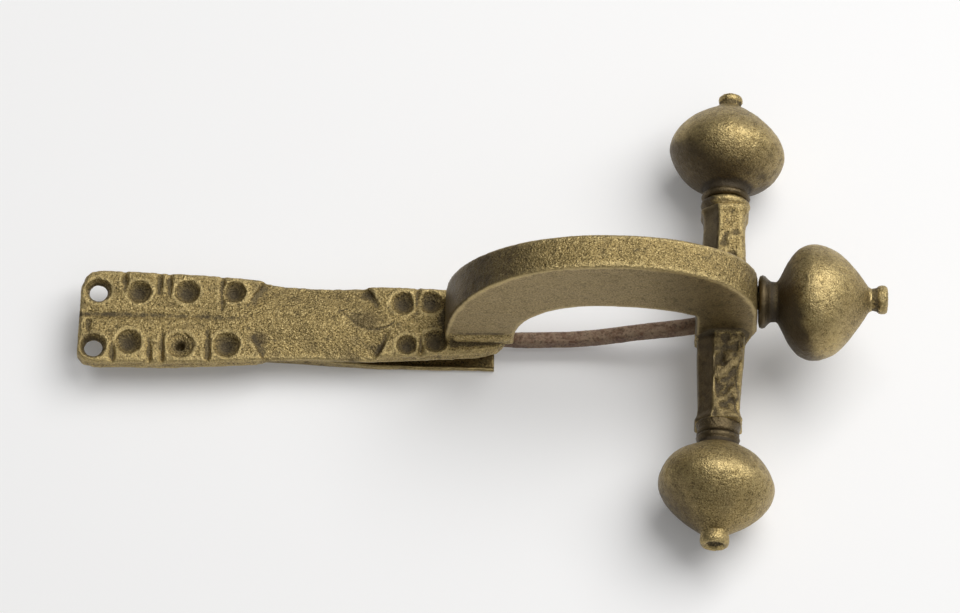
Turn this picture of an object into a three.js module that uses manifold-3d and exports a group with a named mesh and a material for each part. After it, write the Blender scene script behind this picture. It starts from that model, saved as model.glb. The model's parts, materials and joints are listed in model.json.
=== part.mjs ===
import * as THREE from 'three';
import { mergeVertices } from 'three/addons/utils/BufferGeometryUtils.js';
import Module from 'manifold-3d';

// Late Roman crossbow brooch: a cast bow with a long flat foot and a short crossbar,
// three onion knobs riveted to the bar and the head, and a hinged iron pin that lies
// in a sheet catch under the foot.
//
// Millimetres. x = 0, y = 0 is the middle of the crossbar, +X runs toward the head knob,
// +Y away from the catch's mouth, and z = 0 is the ground the brooch lies on, pin side down.

const wasm = await Module();
wasm.setup();

// Overall sizes
const knobRadius = 6.46;
const barHeight = knobRadius; // the side knobs stand on the ground
const bowSpan = 34.5; // from the bow's end on the foot to the face of the head
const bowHeight = 23.4;
const headFace = 3.8; // from the crossbar's axis
const footLength = 48.1;
const footOverlap = 7.0; // length of the foot that runs on under the bow
const armReach = 13.0; // from the middle to the end of each arm
const crossbarSkew = -1.7; // degrees that the crossbar is out of square, seen from above

// Foot
const footUnder = 3.2;
const footThickness = 1.8;
const panelLength = 21.0; // wide panel, from the tip
const waistLength = 12.0;
const panelHalf = 5.55;
const panelEndHalf = 4.95;
const waistHalf = 4.4;
const collarPanelHalf = 4.2;
const footEndHalf = 3.65;
const tipSkew = 0.5;
const facetDepth = 1.0;
const facetInner = 1.0; // the waist facets start this far from the middle
const facetSlant = 1.2; // lengthwise run of the facets' slanting ends

// Foot decoration, each place as [distance from the tip, distance from the middle]
const piercedDots = [[2.0, -3.5], [2.35, 3.25]];
const panelDots = [[5.9, -3.0], [6.9, 3.1], [11.65, -3.3], [12.25, 3.15], [16.8, -3.2], [17.5, 3.2]];
const collarDots = [[36.35, 2.1], [39.4, 2.2], [36.85, -2.7], [39.9, -2.4]];
const dotRadius = 1.45;
const collarDotRadius = 1.3;
const dotDepth = 0.9;
const pierceRadius = 0.97;
const farNotches = [5.25, 9.15, 10.25, 16.15];
const nearNotches = [4.1, 8.15, 9.6, 14.7];
const notchWidth = 0.7;
const notchDepth = 0.35;
const notchLength = 2.3;
const grooveWidth = 1.0;
const grooveDepth = 0.4;

// Bow and head
const crownReach = 17.9; // bow's end to the crown
const bowRoot = 6.5; // height where the outer curve of the foot side starts
const headShoulder = barHeight + 5.04; // height where the outer curve of the head side ends
const footArchPower = 2.08;
const headArchPower = 2.12;
const bowDepth = 9.1; // at the crown
const innerReach = 7.6; // bow's end to the inner curve, at the foot
const innerFlat = 17.9; // bow's end to the highest point of the inner curve
const innerDrop = 2.0; // fall of the inner curve from there to the head
const innerPower = 2.4;
const bowTopHalf = 2.0;
const bowBaseHalf = 2.65;
const padHeight = 2.4;
const padHalf = 2.95;
const rooting = 0.4; // the bow and its pad run this far into the foot
const headFaceBottom = barHeight + 1.89;
const headBack = 3.0; // crossbar's axis to the foot side of the head
const headToe = 2.7;

// Crossbar, hinge and rivets
const armRootHalf = 2.7;
const armEndHalf = 2.3;
const armHalfHeight = 2.6;
const axleRadius = 0.8;
const axleHalfLength = 9.8;
const rivetRadius = 0.95;
const rivetDepth = 2.6; // how far a side rivet runs into its arm
const headRivetHeight = barHeight + 4.49;
const headRivetDepth = 4.5;
const fitClearance = 0.15; // round a rivet in its bore
const axleClearance = 0.3; // round the axle in the crossbar
const seam = 0.12; // between faces that are soldered or clamped together
const hingeClearance = 0.28;
const slotHalf = 1.6;
const slotHeadroom = 0.24; // over the pin's eye

// Knobs, as distances from the plane of the largest diameter;
// a flank is a list of [distance, share of the largest radius]
const collarLength = 1.1;
const collarRadius = 2.75;
const collarBevel = 0.3;
const discStart = 6.2;
const discLength = 1.2;
const discBevel = 0.35;
const headDiscRadius = 3.0;
const sideDiscRadius = 2.6;
const headFlank = [
  [-4.2, 0.34], [-3.0, 0.68], [-1.66, 0.92], [0, 1], [1.66, 0.932], [3.0, 0.8], [4.3, 0.57],
];
const sideFlank = [
  [-4.9, 0.36], [-4.2, 0.54], [-3.3, 0.75], [-2.2, 0.89], [0, 1], [1.2, 0.945], [2.4, 0.81], [3.6, 0.61],
];
const headKnobTail = 6.0;
const sideKnobTail = 5.35;
const tailRadius = 1.6;
const headFinial = 1.95;
const sideFinial = 1.48;
const nearFinialRadius = 1.56;
const farFinialRadius = 1.27;

// Pin
const pinEyeRadius = 1.95;
const pinEyeHalf = 0.9;
const pinRootHalf = 0.82;
const pinMouthHalf = 0.78;
const pinTipHalf = 0.25;

// Catch
const catchThickness = 0.5;
const catchLength = 25.55;
const catchFlange = 0.4; // inner edge of the flange under the foot
const catchFar = 3.5;
const catchNear = 4.0;
const lipAtMouth = 0.7;
const lipAtMiddle = 1.15;
const lipAtTip = 1.95;

const ROUND = 32;
const BORE = 24;
const DOT = 16;

// Places that follow from the sizes
const bowStart = headFace - bowSpan;
const footEnd = bowStart + footOverlap;
const footTip = footEnd - footLength;
const footTop = footUnder + footThickness;
const crownX = bowStart + crownReach;
const armBottom = barHeight - armHalfHeight;
const boreRadius = rivetRadius + fitClearance;
const slotTop = barHeight + pinEyeRadius + slotHeadroom;
const sideKnobPlane = armReach + collarLength + 2 * seam + discStart;
const headKnobPlane = headFace + seam + discStart;
const overallLength = headKnobPlane + headKnobTail + seam + headFinial - footTip;

const bronze = { color: 0x8a7448, roughness: 0.55, metalness: 0.8 };
const iron = { color: 0x6b4a33, roughness: 0.8, metalness: 0.35 };

function solid(geometry) {
  geometry.deleteAttribute('normal');
  geometry.deleteAttribute('uv');
  const merged = mergeVertices(geometry, 1e-4);
  const corners = merged.index.array;
  const kept = [];
  for (let i = 0; i < corners.length; i += 3) {
    const [a, b, c] = corners.slice(i, i + 3);
    if (a !== b && b !== c && c !== a) kept.push(a, b, c);
  }
  return new wasm.Manifold(new wasm.Mesh({
    numProp: 3,
    vertProperties: Float32Array.from(merged.attributes.position.array),
    triVerts: Uint32Array.from(kept),
  }));
}

function named(name, body, finish) {
  const { vertProperties, triVerts } = body.getMesh();
  const geometry = new THREE.BufferGeometry();
  geometry.setAttribute('position', new THREE.BufferAttribute(vertProperties, 3));
  geometry.setIndex(new THREE.BufferAttribute(triVerts, 1));
  geometry.computeVertexNormals();
  const mesh = new THREE.Mesh(geometry, new THREE.MeshStandardMaterial(finish));
  mesh.name = name;
  return mesh;
}

function shapeOf(points) {
  return new THREE.Shape(points.map(([u, v]) => new THREE.Vector2(u, v)));
}

// An outline in (x, z), made into a plate from y = from to y = to.
function alongY(points, from, to) {
  const plate = new THREE.ExtrudeGeometry(shapeOf(points), { depth: to - from, bevelEnabled: false });
  return solid(plate.rotateX(Math.PI / 2).translate(0, to, 0));
}

// An outline in (y, z), made into a bar from x = from to x = to.
function alongX(points, from, to) {
  const bar = new THREE.ExtrudeGeometry(shapeOf(points), { depth: to - from, bevelEnabled: false });
  const yzx = new THREE.Matrix4().makeBasis(
    new THREE.Vector3(0, 1, 0), new THREE.Vector3(0, 0, 1), new THREE.Vector3(1, 0, 0));
  return solid(bar.applyMatrix4(yzx).translate(from, 0, 0));
}

// An outline in (x, y), made into a slab from z = from to z = to.
function upright(points, from, to) {
  const slab = new THREE.ExtrudeGeometry(shapeOf(points), { depth: to - from, bevelEnabled: false });
  return solid(slab.translate(0, 0, from));
}

function box(x0, x1, y0, y1, z0, z1) {
  const block = new THREE.BoxGeometry(x1 - x0, y1 - y0, z1 - z0);
  return solid(block.translate((x0 + x1) / 2, (y0 + y1) / 2, (z0 + z1) / 2));
}

// A profile of [radius, height] pairs turned about the vertical, then laid along an axis.
const toward = {
  up: (g) => g.rotateX(Math.PI / 2),
  head: (g) => g.rotateZ(-Math.PI / 2),
  far: (g) => g,
  near: (g) => g.rotateX(Math.PI),
};

function turned(profile, segments, direction, [x, y, z]) {
  const points = profile.map(([r, t]) => new THREE.Vector2(r, t));
  const lathe = new THREE.LatheGeometry(points, segments);
  return solid(toward[direction](lathe).translate(x, y, z));
}

function rod(radius, from, to, segments, direction, place) {
  const profile = [[0, from], [radius, from], [radius, to], [0, to]];
  return turned(profile, segments, direction, place);
}

// One quarter of a superellipse, from its flank at (cx + a, cz) to its top at (cx, cz + b).
function archQuarter(cx, cz, a, b, power, steps) {
  const points = [];
  for (let i = 0; i <= steps; i += 1) {
    const angle = (i / steps) * (Math.PI / 2);
    const u = Math.max(Math.cos(angle), 0) ** (2 / power);
    const v = Math.sin(angle) ** (2 / power);
    points.push([cx + a * u, cz + b * v]);
  }
  return points;
}

// What belongs to the crossbar is made square to the bow, then turned with it.
function skewed(body) {
  return body.rotate([0, 0, crossbarSkew]);
}

function footPlate() {
  const halves = [
    [footTip + 1.5, panelHalf],
    [footTip + panelLength / 2, panelHalf],
    [footTip + panelLength, panelEndHalf],
    [footTip + panelLength + 3, waistHalf],
    [footTip + panelLength + waistLength, waistHalf],
    [bowStart - 1.5, collarPanelHalf],
    [footEnd - 3, footEndHalf],
  ];
  const round = [[footEnd - 1, footEndHalf - 0.5], [footEnd, footEndHalf - 1.6]];
  const far = halves.concat(round).map(([x, half]) => [x, half]);
  const near = halves.concat(round).map(([x, half]) => [x, -half]).reverse();
  const tip = [[footTip, 1.5 - panelHalf], [footTip + tipSkew, panelHalf - 1.2]];
  return upright([...near, ...tip, ...far].reverse(), footUnder, footTop);
}

// The waist's long facets fall away to the edge and end on slanting lines.
function waistFacet(side) {
  const outer = panelHalf + 1;
  const drop = (facetDepth * (outer - facetInner)) / (waistHalf - facetInner);
  const section = [
    [facetInner, footTop], [outer, footTop - drop],
    [outer, footTop + 1], [facetInner, footTop + 1],
  ];
  const facing = section.map(([y, z]) => [side * y, z]);
  const wedge = alongX(side > 0 ? facing : facing.reverse(), footTip + panelLength - 4, bowStart);
  const start = footTip + panelLength - 1;
  const end = start + waistLength + 1.5;
  const plan = [
    [start - facetSlant, facetInner], [end + facetSlant, facetInner],
    [end, outer], [start + facetSlant, outer],
  ];
  const reach = plan.map(([x, y]) => [x, side * y]);
  return wedge.intersect(upright(side > 0 ? reach : reach.reverse(), footUnder, footTop + 2));
}

function ringDot([distance, offset], radius) {
  const profile = [[0, -dotDepth], [0.3, -dotDepth], [radius, 0], [radius, 1], [0, 1]];
  return turned(profile, DOT, 'up', [footTip + distance, offset, footTop]);
}

function pierce([distance, offset]) {
  const place = [footTip + distance, offset, footUnder];
  return rod(pierceRadius, -1, footThickness + 1, DOT, 'up', place);
}

function notch(distance, side) {
  const x = footTip + distance;
  const inner = side * (panelHalf - notchLength);
  const outer = side * (panelHalf + 1);
  return box(x - notchWidth / 2, x + notchWidth / 2, Math.min(inner, outer), Math.max(inner, outer),
    footTop - notchDepth, footTop + 1);
}

function foot() {
  const cuts = [
    ...[...piercedDots, ...panelDots].map((place) => ringDot(place, dotRadius)),
    ...collarDots.map((place) => ringDot(place, collarDotRadius)),
    ...piercedDots.map(pierce),
    ...farNotches.map((distance) => notch(distance, 1)),
    ...nearNotches.map((distance) => notch(distance, -1)),
    box(footTip + 1.2, footTip + panelLength - 3, -grooveWidth / 2, grooveWidth / 2,
      footTop - grooveDepth, footTop + 1),
    waistFacet(1),
    waistFacet(-1),
  ];
  return cuts.reduce((plate, cut) => plate.subtract(cut), footPlate());
}

function bowOutline() {
  const innerTop = bowHeight - bowDepth;
  const flatX = bowStart + innerFlat;
  const outerFoot = archQuarter(crownX, bowRoot, bowStart - crownX, bowHeight - bowRoot, footArchPower, 14);
  const headRise = bowHeight - headShoulder;
  const outerHead = archQuarter(crownX, headShoulder, headFace - crownX, headRise, headArchPower, 14);
  const innerRun = bowStart + innerReach - flatX;
  const innerFoot = archQuarter(flatX, footTop, innerRun, innerTop - footTop, innerPower, 10);
  const innerHead = [];
  for (let i = 0; i < 6; i += 1) {
    const u = 1 - i / 6;
    innerHead.push([flatX + (-headBack - flatX) * u, innerTop - innerDrop * u * u]);
  }
  return [
    [bowStart, footTop - rooting],
    ...outerFoot,
    ...outerHead.reverse().slice(1),
    [headFace, headFaceBottom],
    [headToe, armBottom + 1.2],
    [headToe, armBottom],
    [-headBack, armBottom],
    ...innerHead,
    ...innerFoot.reverse(),
    [bowStart + innerReach, footTop - rooting],
  ].reverse();
}

function bow() {
  const front = [
    [-bowBaseHalf, 0], [bowBaseHalf, 0], [bowBaseHalf, bowRoot],
    [bowTopHalf, bowHeight + 0.1], [-bowTopHalf, bowHeight + 0.1], [-bowBaseHalf, bowRoot],
  ];
  const side = alongY(bowOutline(), -padHalf, padHalf);
  return side.intersect(alongX(front, bowStart - 1, headFace + 1));
}

function basePad() {
  const from = bowStart + 0.3;
  const to = bowStart + innerReach + 0.2;
  return box(from, to, -padHalf, padHalf, footTop - rooting, footTop + padHeight);
}

// One arm of the crossbar; the broad facet on its foot side is the one that shows.
function arm(side) {
  const section = [
    [-1, -0.75], [-0.82, -1], [0.82, -1], [1, -0.8], [0.96, 0.8], [0.82, 1], [-0.4, 1], [-1, 0.35],
  ];
  const prism = new THREE.ExtrudeGeometry(shapeOf(section), { depth: 1, bevelEnabled: false });
  const place = prism.attributes.position;
  for (let i = 0; i < place.count; i += 1) {
    const along = place.getZ(i);
    const half = armRootHalf + (armEndHalf - armRootHalf) * along;
    place.setXYZ(i, place.getX(i) * half, place.getY(i) * armHalfHeight, along * armReach);
  }
  prism.rotateX(Math.PI / 2).translate(0, 0, barHeight);
  const near = solid(prism);
  return skewed(side < 0 ? near : near.mirror([0, 1, 0]));
}

function castingBores() {
  const rivetBore = [armReach - rivetDepth - fitClearance, armReach + 1];
  const axleReach = armReach - rivetDepth;
  const barMiddle = [0, 0, barHeight];
  const headBoreEnd = headFace - headRivetDepth - fitClearance;
  return [
    skewed(rod(axleRadius + axleClearance, -axleReach, axleReach, BORE, 'far', barMiddle)),
    skewed(rod(boreRadius, ...rivetBore, BORE, 'far', barMiddle)),
    skewed(rod(boreRadius, ...rivetBore, BORE, 'near', barMiddle)),
    rod(boreRadius, headBoreEnd, headFace + 1, BORE, 'head', [0, 0, headRivetHeight]),
    box(-headBack - 1, pinEyeRadius + hingeClearance, -slotHalf, slotHalf, armBottom - 1, slotTop),
  ];
}

function casting() {
  const whole = [bow(), basePad(), arm(-1), arm(1)].reduce((body, piece) => body.add(piece), foot());
  return castingBores().reduce((body, bore) => body.subtract(bore), whole);
}

// Onion knob: base disc, neck and swelling body, bored for its rivet.
function knob(flankShares, discRadius, tail, direction, place) {
  const knots = flankShares.map(([t, share]) => new THREE.Vector2(knobRadius * share, t));
  const flank = new THREE.SplineCurve([...knots, new THREE.Vector2(tailRadius, tail)])
    .getPoints(20)
    .map((p) => [Math.min(p.x, knobRadius), p.y]);
  const profile = [
    [boreRadius, -discStart],
    [discRadius - discBevel, -discStart],
    [discRadius, -discStart + discBevel],
    [discRadius, -discStart + discLength - discBevel],
    [discRadius - discBevel, -discStart + discLength],
    ...flank,
    [boreRadius, tail],
    [boreRadius, -discStart],
  ];
  return turned(profile, ROUND, direction, place);
}

// Rivet with a turned finial: start and seat are distances from the knob's widest plane.
function rivet(start, seat, finial, radius, direction, place) {
  const profile = [
    [0, start], [rivetRadius, start], [rivetRadius, seat],
    [radius * 0.88, seat], [radius * 0.84, seat + finial * 0.35],
    [radius, seat + finial * 0.5], [radius, seat + finial * 0.8],
    [radius * 0.6, seat + finial], [0, seat + finial],
  ];
  return turned(profile, BORE, direction, place);
}

function collar(direction) {
  const from = armReach + seam;
  const to = from + collarLength;
  const profile = [
    [boreRadius, from], [collarRadius - collarBevel, from], [collarRadius, from + collarBevel],
    [collarRadius, to - collarBevel], [collarRadius - collarBevel, to], [boreRadius, to],
    [boreRadius, from],
  ];
  return turned(profile, ROUND, direction, [0, 0, barHeight]);
}

// The shank is a rounded square bar swept from the eye to the point.
function pinShank() {
  const mouthX = bowStart + footOverlap;
  const tipX = mouthX - catchLength * 0.66;
  const inside = (footUnder + catchThickness) / 2;
  const course = new THREE.CatmullRomCurve3([
    new THREE.Vector3(-1.3, 0, barHeight - 0.6),
    new THREE.Vector3(-headBack, 0, barHeight - 1.6),
    new THREE.Vector3(mouthX * 0.38, -0.3, inside + 1.55),
    new THREE.Vector3(mouthX * 0.62, -0.55, inside + 0.35),
    new THREE.Vector3(mouthX * 0.85, -0.7, inside + 0.05),
    new THREE.Vector3(mouthX, -0.75, inside + 0.05),
    new THREE.Vector3((mouthX + tipX) / 2, -0.6, inside + 0.3),
    new THREE.Vector3(tipX, -0.4, inside + 0.65),
  ]);
  const corner = 0.7;
  const section = [
    [-1, -corner], [-corner, -1], [corner, -1], [1, -corner],
    [1, corner], [corner, 1], [-corner, 1], [-1, corner],
  ];
  const bar = new THREE.ExtrudeGeometry(shapeOf(section), { depth: 1, steps: 28, bevelEnabled: false });
  const place = bar.attributes.position;
  for (let i = 0; i < place.count; i += 1) {
    const at = course.getPoint(place.getZ(i));
    const toMouth = Math.min(at.x / mouthX, 1);
    const toTip = Math.max((at.x - mouthX) / (tipX - mouthX), 0);
    const half = pinRootHalf + (pinMouthHalf - pinRootHalf) * toMouth + (pinTipHalf - pinMouthHalf) * toTip;
    place.setXYZ(i, at.x, at.y - place.getX(i) * half, at.z + place.getY(i) * half);
  }
  return solid(bar);
}

function pin() {
  const eye = rod(pinEyeRadius, -pinEyeHalf, pinEyeHalf, BORE, 'far', [0, 0, barHeight]);
  const bore = rod(axleRadius + hingeClearance, -slotHalf, slotHalf, BORE, 'far', [0, 0, barHeight]);
  return skewed(eye).add(pinShank()).subtract(skewed(bore));
}

// A bent strip: the line [y, z] thickened evenly to both sides.
function strip(line, thickness) {
  const sides = [[], []];
  line.forEach(([y, z], i) => {
    const [y0, z0] = line[Math.max(i - 1, 0)];
    const [y1, z1] = line[Math.min(i + 1, line.length - 1)];
    const length = Math.hypot(y1 - y0, z1 - z0);
    const shift = [((z0 - z1) / length) * (thickness / 2), ((y1 - y0) / length) * (thickness / 2)];
    sides[0].push([y - shift[0], z - shift[1]]);
    sides[1].unshift([y + shift[0], z + shift[1]]);
  });
  return [...sides[0], ...sides[1]];
}

function catchSheath() {
  const half = catchThickness / 2;
  const top = footUnder - seam - half;
  const bend = 0.55;
  const line = [
    [-catchNear + half, top], [-catchNear + half, half + bend],
    [-catchNear + half + bend * 0.3, half + bend * 0.3],
    [-catchNear + half + bend, half], [catchFar - half - bend, half],
    [catchFar - half - bend * 0.3, half + bend * 0.3], [catchFar - half, half + bend],
    [catchFar - half, top - bend], [catchFar - half - bend * 0.3, top - bend * 0.3],
    [catchFar - half - bend, top], [catchFlange, top],
  ];
  const start = footTip + panelLength;
  const mouth = start + catchLength;
  const closedLength = 4;
  const body = alongX(strip(line, catchThickness), start, mouth);
  const lip = [
    [mouth + 1, lipAtMouth], [mouth + 1, footTop], [start + closedLength, footTop],
    [start + closedLength, lipAtTip + 0.8], [start + catchLength * 0.34, lipAtTip],
    [start + catchLength * 0.68, lipAtMiddle], [mouth, lipAtMouth],
  ];
  return body.subtract(alongY(lip, -catchNear - 1, -catchNear + 3 * catchThickness));
}

const brooch = new THREE.Group();
const barMiddle = [0, 0, barHeight];
const headAxis = [headKnobPlane, 0, headRivetHeight];
brooch.add(named('bow_and_foot_casting', casting(), bronze));
brooch.add(named('catch_sheath', catchSheath(), bronze));
brooch.add(named('pin', pin(), iron));
const axle = rod(axleRadius, -axleHalfLength, axleHalfLength, BORE, 'far', barMiddle);
brooch.add(named('hinge_axle', skewed(axle), iron));
brooch.add(named('head_knob', knob(headFlank, headDiscRadius, headKnobTail, 'head', headAxis), bronze));
const headStart = headFace - headRivetDepth - headKnobPlane;
const headRivet = rivet(headStart, headKnobTail + seam, headFinial, nearFinialRadius, 'head', headAxis);
brooch.add(named('head_knob_rivet', headRivet, bronze));

for (const [side, direction, sign] of [['near', 'near', -1], ['far', 'far', 1]]) {
  const place = [0, sign * sideKnobPlane, barHeight];
  const radius = side === 'near' ? nearFinialRadius : farFinialRadius;
  const start = armReach - rivetDepth - sideKnobPlane;
  const button = rivet(start, sideKnobTail + seam, sideFinial, radius, direction, place);
  const onion = knob(sideFlank, sideDiscRadius, sideKnobTail, direction, place);
  brooch.add(named(`${side}_arm_collar`, skewed(collar(direction)), bronze));
  brooch.add(named(`${side}_arm_knob`, skewed(onion), bronze));
  brooch.add(named(`${side}_arm_rivet`, skewed(button), bronze));
}

// The origin is under the middle of the brooch's length.
brooch.position.x = -(footTip + overallLength / 2);

export default brooch;
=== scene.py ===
import json
import math

import bmesh
import bpy
import numpy as np
from bpy.props import FloatProperty, FloatVectorProperty, IntProperty, PointerProperty
from mathutils import Matrix, Vector, noise


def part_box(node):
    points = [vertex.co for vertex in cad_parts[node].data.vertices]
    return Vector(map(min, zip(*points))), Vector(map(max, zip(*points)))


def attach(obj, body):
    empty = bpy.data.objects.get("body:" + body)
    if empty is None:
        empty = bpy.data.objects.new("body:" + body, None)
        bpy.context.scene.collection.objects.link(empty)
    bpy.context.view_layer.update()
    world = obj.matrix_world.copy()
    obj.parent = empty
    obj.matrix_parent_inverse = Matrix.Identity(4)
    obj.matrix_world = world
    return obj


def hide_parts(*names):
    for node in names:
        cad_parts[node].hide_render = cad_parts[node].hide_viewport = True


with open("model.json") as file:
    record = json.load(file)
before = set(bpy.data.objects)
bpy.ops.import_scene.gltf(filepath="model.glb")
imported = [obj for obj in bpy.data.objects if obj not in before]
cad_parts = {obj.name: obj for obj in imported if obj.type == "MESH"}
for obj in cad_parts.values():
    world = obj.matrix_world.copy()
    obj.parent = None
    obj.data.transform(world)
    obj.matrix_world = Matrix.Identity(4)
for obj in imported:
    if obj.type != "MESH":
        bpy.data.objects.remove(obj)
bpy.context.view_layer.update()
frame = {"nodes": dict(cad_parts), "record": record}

bl_info = {
    "name": "Crossbow Brooch",
    "version": (1, 0, 0),
    "blender": (4, 5, 0),
    "location": "View3D > Sidebar > Brooch",
    "description": "Builds a late Roman crossbow brooch with its onion knobs, sheet catch and hinged pin",
    "category": "Add Mesh",
}

# Shapes are drawn in millimetres and made metres when a piece is finished.
MM = 0.001


def frame_box(node):
    """The lowest and highest corners of a frame part, in millimetres."""
    low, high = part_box(node)
    return low / MM, high / MM


CASTING = frame_box("bow_and_foot_casting")
CATCH = frame_box("catch_sheath")
HEAD_KNOB = frame_box("head_knob")
NEAR_KNOB = frame_box("near_arm_knob")
FAR_KNOB = frame_box("far_arm_knob")
BAR = Vector(frame["record"]["behaviour"]["joints"][0]["pos_m"]) / MM
HINGE_AXIS = Vector(frame["record"]["behaviour"]["joints"][0]["axis"])
ALONG_BAR = Vector((-HINGE_AXIS.x, -HINGE_AXIS.y, 0)).normalized()
HEAD_CENTRE = Vector((HEAD_KNOB[0].x + 6.2, 0, (HEAD_KNOB[0].z + HEAD_KNOB[1].z) / 2))
HEAD_LEAN = Vector((0, 0.25, 0.35))  # how far the head knob's outer end sits off its true place, in mm
KNOB_REACH = 20.54  # from the middle of the crossbar to the middle of a side knob, in mm
FOOT_TIP = CASTING[0].x
HEAD_FACE = CASTING[1].x
CROWN = CASTING[1].z
ARM_END = CASTING[1].y


class BroochSizes(bpy.types.PropertyGroup):
    """Sizes of the cast and wrought parts."""

    bow_top: FloatProperty(name="Bow top", description="Half the width of the bow's back",
                           default=2.0 * MM, subtype="DISTANCE", precision=5)
    bow_base: FloatProperty(name="Bow base", description="Half the width of the bow at the foot",
                            default=2.68 * MM, subtype="DISTANCE", precision=5)
    foot_thickness: FloatProperty(name="Foot thickness", description="Thickness of the foot plate",
                                  default=1.8 * MM, subtype="DISTANCE", precision=5)
    foot_underside: FloatProperty(name="Foot underside", description="Height of the foot above the ground",
                                  default=3.2 * MM, subtype="DISTANCE", precision=5)
    dot_radius: FloatProperty(name="Dot radius", description="Rim radius of a drilled ring-dot",
                              default=1.42 * MM, subtype="DISTANCE", precision=5)
    dot_depth: FloatProperty(name="Dot depth", description="Depth of a drilled ring-dot",
                             default=1.0 * MM, subtype="DISTANCE", precision=5)
    sheet: FloatProperty(name="Sheet", description="Thickness of the catch's sheet",
                         default=0.5 * MM, subtype="DISTANCE", precision=5)
    knob_radius: FloatProperty(name="Knob radius", description="Largest radius of an onion knob",
                               default=BAR.z * MM, subtype="DISTANCE", precision=5)
    pin_width: FloatProperty(name="Pin width", description="Width of the pin's shank at the head",
                             default=1.74 * MM, subtype="DISTANCE", precision=5)
    grain: FloatProperty(name="Cast grain", description="Height of the casting's grain",
                         default=0.042 * MM, subtype="DISTANCE", precision=6)
    mesh_step: FloatProperty(name="Mesh step", description="Size of the faces of the casting's mesh",
                             default=0.2 * MM, subtype="DISTANCE", precision=6)
    knob_steps: IntProperty(name="Knob steps", description="Faces round an onion knob", default=160, min=32)


def colour(name, description, rgb):
    """A colour property with its default."""
    return FloatVectorProperty(name=name, description=description, subtype="COLOR", size=4,
                               min=0.0, max=1.0, default=(*rgb, 1.0))


class BroochColours(bpy.types.PropertyGroup):
    """Colours of the old copper alloy, the rusty pin and the table."""

    brass: colour("Brass", "Clean golden metal on rubbed grains", (0.68, 0.53, 0.25))
    bronze: colour("Bronze", "Ordinary brownish golden metal", (0.42, 0.31, 0.125))
    olive: colour("Olive", "Thin olive patina", (0.18, 0.135, 0.055))
    smooth: colour("Smooth skin", "Greyish skin on the filed side faces", (0.31, 0.235, 0.115))
    # The tarnish colour also paints shade on faces turned from the light.
    tarnish_and_shade: colour("Tarnish", "Brown tarnish where it was never rubbed", (0.075, 0.055, 0.032))
    dirt: colour("Dirt", "Dark earth in the hollows", (0.035, 0.025, 0.014))
    rust: colour("Rust", "Brown rust of the pin", (0.19, 0.105, 0.06))
    rust_light: colour("Light rust", "Dusty crust on the rust", (0.42, 0.31, 0.21))
    table: colour("Table", "Pale ground that the brooch lies on", (0.80, 0.795, 0.79))


# ---------------------------------------------------------------- mesh helpers

def finish_piece(name, bm, material, body, nodes=()):
    """Makes a piece of a mesh drawn in millimetres, and ties it to its body and its frame parts."""
    bmesh.ops.remove_doubles(bm, verts=bm.verts, dist=1e-4)
    bmesh.ops.recalc_face_normals(bm, faces=bm.faces)
    bmesh.ops.scale(bm, verts=bm.verts, vec=(MM, MM, MM))
    mesh = bpy.data.meshes.new(name)
    bm.to_mesh(mesh)
    bm.free()
    mesh.shade_smooth()
    piece = bpy.data.objects.new(name, mesh)
    bpy.context.scene.collection.objects.link(piece)
    mesh.materials.append(material)
    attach(piece, body)
    if nodes:
        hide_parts(*nodes)
    return piece


def extrude_outline(bm, points, offset):
    """A closed outline pushed along an offset into a solid, and the vertices it is made of."""
    start = [bm.verts.new(point) for point in points]
    face = bm.faces.new(start)
    pushed = bmesh.ops.extrude_face_region(bm, geom=[face], use_keep_orig=True)
    moved = [item for item in pushed["geom"] if isinstance(item, bmesh.types.BMVert)]
    bmesh.ops.translate(bm, verts=moved, vec=offset)
    return start + moved


def loft(bm, rings):
    """Closed rings of equal count bridged in order, and capped at both ends."""
    rows = []
    for ring in rings:
        verts = [bm.verts.new(point) for point in ring]
        rows.append((verts, [bm.edges.new((verts[i - 1], verts[i])) for i in range(len(verts))]))
    for (_, first), (_, second) in zip(rows, rows[1:]):
        bmesh.ops.bridge_loops(bm, edges=first + second)
    bm.faces.new(rows[0][0])
    bm.faces.new(rows[-1][0])


def turn(bm, profile, centre, axis, steps):
    """A profile of (radius, distance) points spun round an axis; it starts and ends on the axis."""
    side = axis.orthogonal().normalized()
    verts = [bm.verts.new(centre + side * radius + axis * along) for radius, along in profile]
    edges = [bm.edges.new(pair) for pair in zip(verts, verts[1:])]
    bmesh.ops.spin(bm, geom=verts + edges, cent=centre, axis=axis, angle=math.tau, steps=steps, use_merge=True)
    bmesh.ops.remove_doubles(bm, verts=bm.verts, dist=1e-4)


def curve_points(knots, count):
    """Points spaced evenly by knot along a smooth curve through the knots."""
    points = []
    last = len(knots) - 1
    for i in range(count + 1):
        at = i * last / count
        k = min(int(at), last - 1)
        u = at - k
        p0, p1, p2, p3 = (Vector(knots[min(max(k + j, 0), last)]) for j in (-1, 0, 1, 2))
        points.append(0.5 * (2 * p1 + (p2 - p0) * u + (2 * p0 - 5 * p1 + 4 * p2 - p3) * u * u
                             + (3 * p1 - p0 - 3 * p2 + p3) * u ** 3))
    return points


def apply_modifiers(piece):
    """Makes the piece's modifiers part of its mesh."""
    graph = bpy.context.evaluated_depsgraph_get()
    made = bpy.data.meshes.new_from_object(piece.evaluated_get(graph))
    before = piece.data
    piece.modifiers.clear()
    piece.data = made
    bpy.data.meshes.remove(before)


def helper_object(name, bm):
    """A nameless stage of the work, in millimetres, that is removed when it has been used."""
    bmesh.ops.recalc_face_normals(bm, faces=bm.faces)
    mesh = bpy.data.meshes.new(name)
    bm.to_mesh(mesh)
    bm.free()
    made = bpy.data.objects.new(name, mesh)
    bpy.context.scene.collection.objects.link(made)
    return made


def remove_object(made):
    """Removes a helper object and its mesh."""
    mesh = made.data
    bpy.data.objects.remove(made)
    bpy.data.meshes.remove(mesh)


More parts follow.
